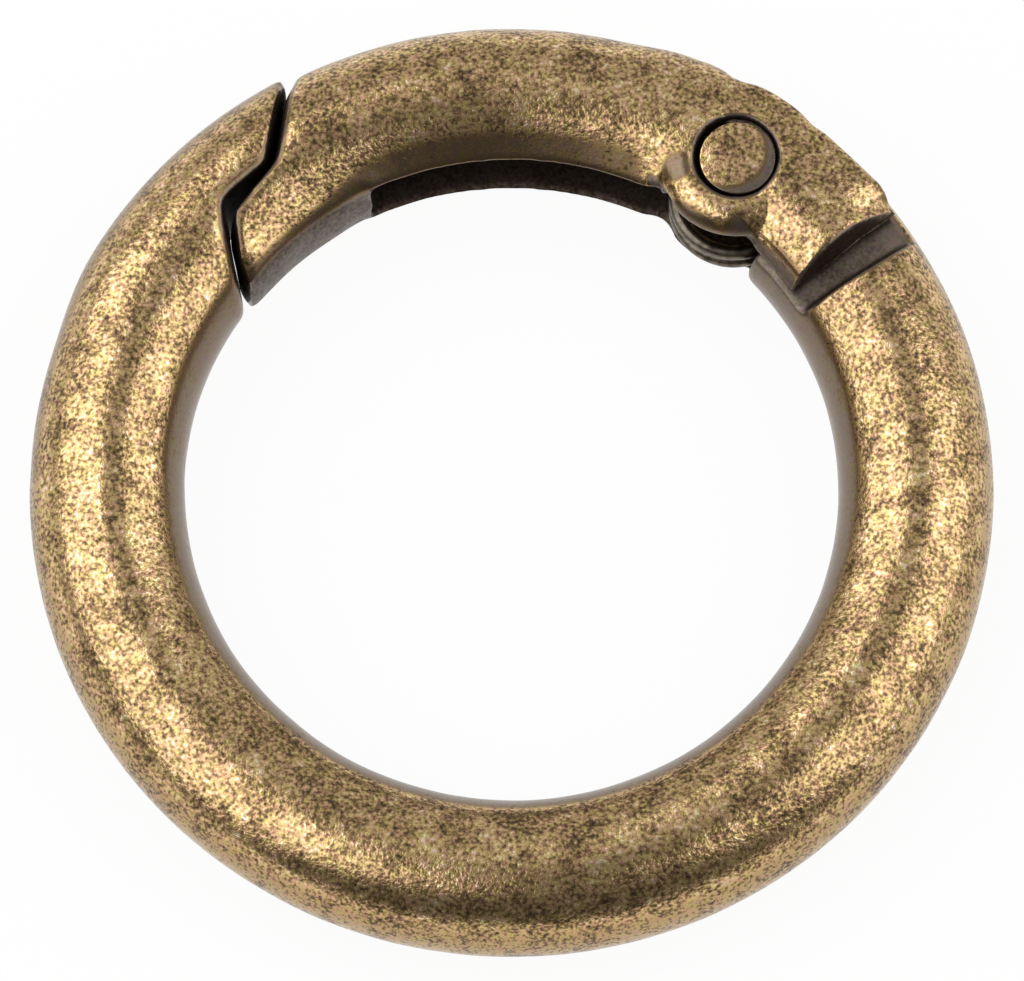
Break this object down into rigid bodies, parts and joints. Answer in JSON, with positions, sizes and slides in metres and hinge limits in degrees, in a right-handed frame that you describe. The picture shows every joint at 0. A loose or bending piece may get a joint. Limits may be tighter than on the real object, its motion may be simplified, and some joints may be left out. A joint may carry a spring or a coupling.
{
  "type": "spring gate ring",
  "caption": "Round-section snap ring with a sprung gate that swings inward on a riveted hinge, antique brass finish.",
  "frame": {"origin": "centre of the ring, half way through its thickness", "axes": "+Z along the hinge pin's axis, out of the face that shows the pin's head; +Y from the centre towards the middle of the gate"},
  "size_m": [0.037, 0.037, 0.006],
  "materials": {
    "antique_brass": "antique brass plating over die-cast zinc: burnished highs, dark brown patina in grains and recesses",
    "rivet_brass": "antique brass plating on a steel rivet, speckled",
    "spring_steel": "drawn spring wire, darkened by the antique bath"
  },
  "bodies": {
    "ring": {"ring_body": "antique_brass", "torsion_spring": "spring_steel"},
    "gate_arm": {"gate": "antique_brass", "hinge_pin": "rivet_brass"}
  },
  "joints": [
    {"name": "gate_hinge", "type": "hinge", "parent": "ring", "child": "gate_arm", "pos_m": [0.00863, 0.01251, 0], "axis": [0, 0, 1], "range_deg": [0, 30], "stiffness_Nm_per_rad": 0.04, "springref_deg": -68.75, "deforming": ["torsion_spring"]}
  ]
}
